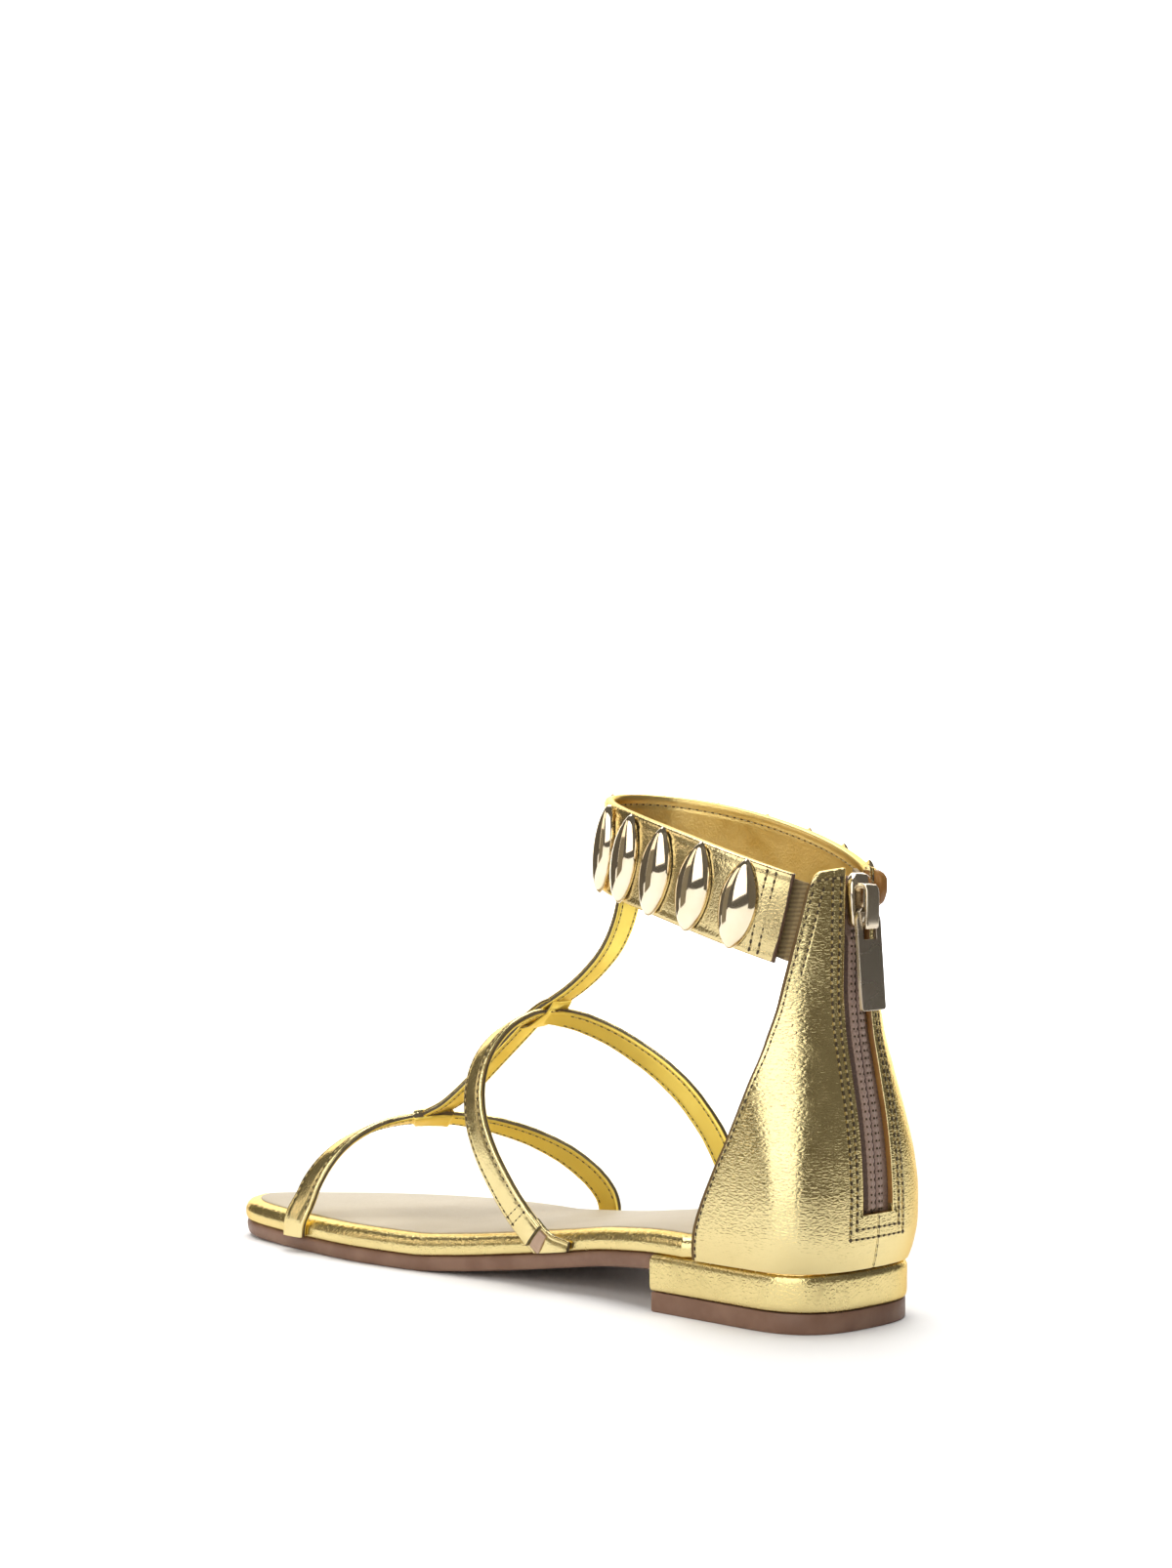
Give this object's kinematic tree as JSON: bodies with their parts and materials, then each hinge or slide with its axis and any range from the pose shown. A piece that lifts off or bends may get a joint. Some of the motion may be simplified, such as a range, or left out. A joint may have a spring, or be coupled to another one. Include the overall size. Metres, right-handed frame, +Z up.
{
  "type": "gladiator sandal",
  "caption": "Flat gold leather sandal for a right foot with thin straps in a T, a studded ankle band and a tall heel counter closed by a back zip.",
  "frame": {"origin": "centre of the whole bounding box in plan, on the floor plane", "axes": "+X to the toe, +Y to the inner (medial) side of a right foot, +Z up"},
  "size_m": [0.2418, 0.0796, 0.1408],
  "materials": {
    "gold_leather": "metallic gold foil over fine-grained leather, semi-gloss",
    "sock": "smooth pale gold lining leather, satin",
    "sole": "brown painted edge and matte brown sole",
    "elastic": "ribbed elastic",
    "zip_tape": "woven tape with a moulded coil",
    "pale_metal": "pale gold plated, polished",
    "pewter": "dark plated, satin"
  },
  "bodies": {
    "shoe": {"outsole": "sole", "heel_block": "gold_leather", "heel_top_lift": "sole", "footbed": "gold_leather", "insole_sock": "sock", "strap_upper": "gold_leather", "heel_counter": "gold_leather", "ankle_band": "gold_leather", "gore_inner": "elastic", "gore_outer": "elastic", "zip_tape": "zip_tape", "zip_slider": "pale_metal", "zip_tape_end": "sole", "stud_01": "pale_metal", "stud_02": "pale_metal", "stud_03": "pale_metal", "stud_04": "pale_metal", "stud_05": "pale_metal", "stud_06": "pale_metal", "stud_07": "pale_metal", "stud_08": "pale_metal", "stud_09": "pale_metal", "stud_10": "pale_metal", "stud_11": "pale_metal", "stud_12": "pale_metal"},
    "pull_tab": {"zip_pull": "pewter"}
  },
  "joints": [
    {"name": "pull_tab_swing", "type": "hinge", "parent": "shoe", "child": "pull_tab", "pos_m": [-0.11587, 0.00545, 0.1116], "axis": [0, 1, 0], "range_deg": [-5, 150]}
  ]
}
